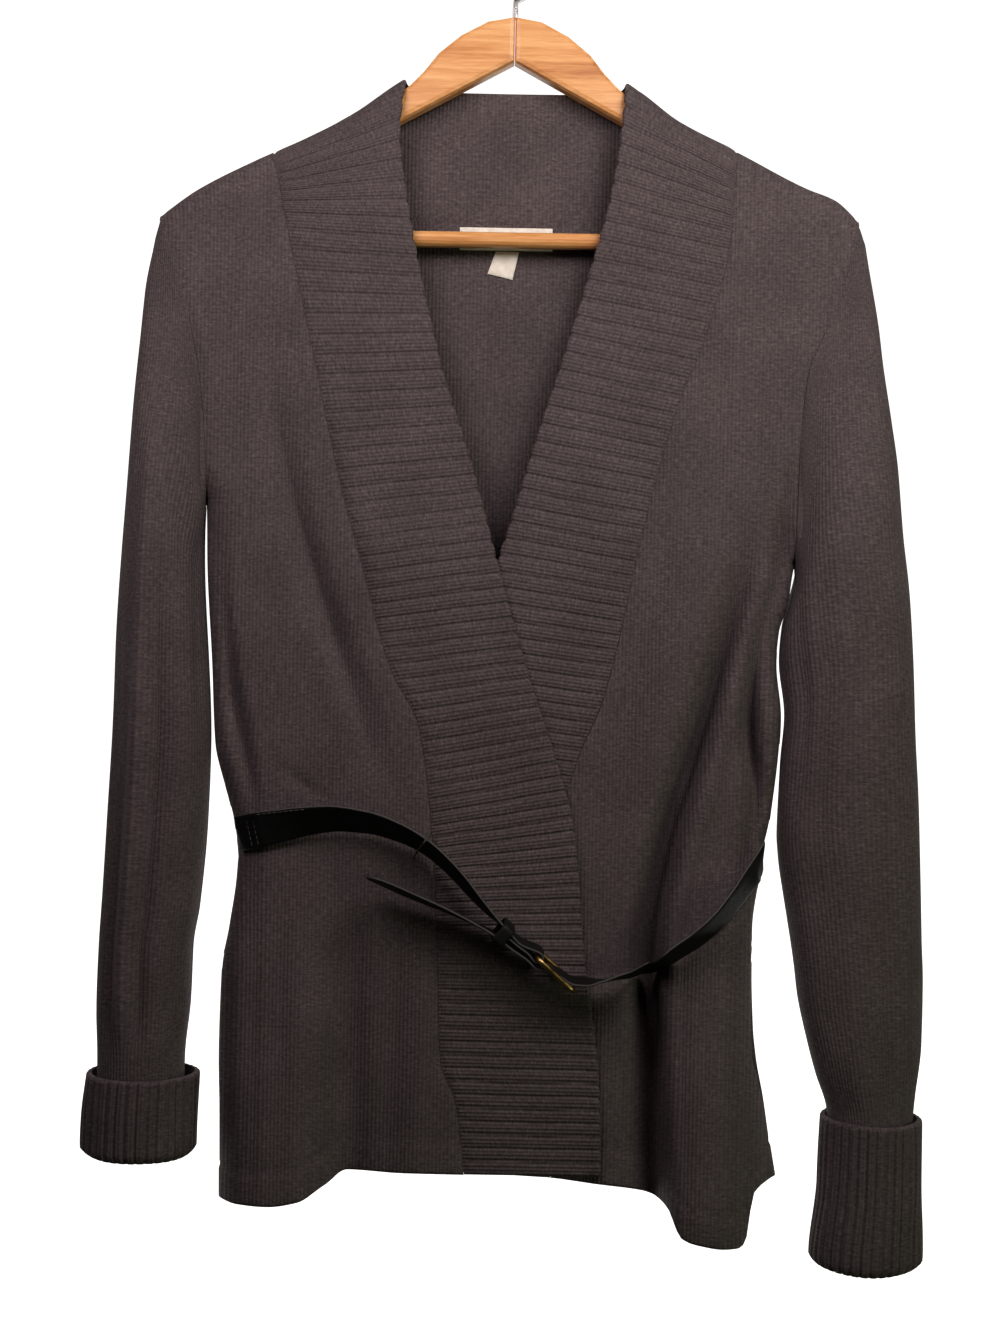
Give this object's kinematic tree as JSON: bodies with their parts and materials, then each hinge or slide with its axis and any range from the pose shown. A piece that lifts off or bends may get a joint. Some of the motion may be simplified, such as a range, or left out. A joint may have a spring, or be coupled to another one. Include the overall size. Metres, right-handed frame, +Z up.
{
  "type": "wrap cardigan on a wooden hanger",
  "caption": "Long-sleeved knitted wrap cardigan with a wide ribbed shawl collar, turned-back ribbed cuffs and a thin leather belt with a brass frame buckle, hanging on a wooden hanger.",
  "frame": {"origin": "inner top of the hanger's hook, where it bears on a rail", "axes": "+Z up, +X to the wearer's left (the viewer's right), -Y the way the wearer faces"},
  "size_m": [0.534, 0.0909, 0.8435],
  "materials": {
    "knit": "fine-gauge heathered knit, matt and slightly fuzzy",
    "leather": "thin smooth leather, half matt",
    "brass": "aged, satin",
    "wood": "smooth clear-lacquered beech",
    "steel": "polished wire",
    "label": "woven tape, left blank"
  },
  "bodies": {
    "root": {"back": "knit", "front_right": "knit", "front_left": "knit", "band_right": "knit", "band_left": "knit", "collar_back": "knit", "sleeve_right": "knit", "sleeve_left": "knit", "cuff_right": "knit", "cuff_left": "knit", "belt_right": "leather", "belt_left": "leather", "belt_keeper": "leather", "belt_buckle": "brass", "belt_carrier": "knit", "neck_label": "label", "care_label": "label", "hanger_arm_left": "wood", "hanger_arm_right": "wood", "hanger_rod": "wood", "hanger_hook": "steel"}
  },
  "joints": []
}
